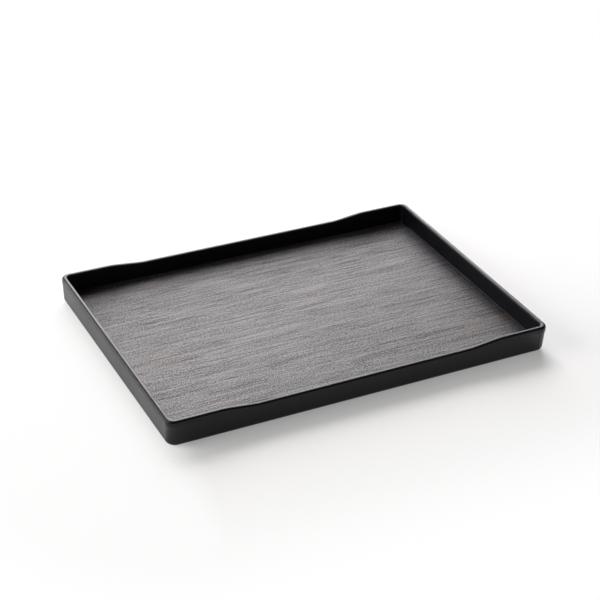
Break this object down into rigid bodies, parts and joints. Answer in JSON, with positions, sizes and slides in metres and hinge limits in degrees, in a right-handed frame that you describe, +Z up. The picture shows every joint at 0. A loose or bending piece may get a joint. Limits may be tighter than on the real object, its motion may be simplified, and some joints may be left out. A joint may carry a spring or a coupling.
{
  "type": "hotel room tray",
  "caption": "Rectangular black serving tray: moulded shell with a rim that dips along both long sides, a wood-grain floor panel and rubber feet; carries cups and room amenities.",
  "frame": {"origin": "on the table under the middle of the tray, level with the soles of the feet", "axes": "+X along the tray's length, +Y across it from the front to the back, +Z up"},
  "size_m": [0.42, 0.3, 0.03],
  "materials": {
    "black_shell": "black moulded plastic, satin",
    "grained_floor": "black laminate with an embossed wood grain along the tray's length, soft sheen",
    "black_rubber": "black rubber, matte"
  },
  "bodies": {
    "root": {"tray_shell": "black_shell", "floor_panel": "grained_floor", "foot_front_left": "black_rubber", "foot_front_right": "black_rubber", "foot_back_left": "black_rubber", "foot_back_right": "black_rubber"}
  },
  "joints": []
}
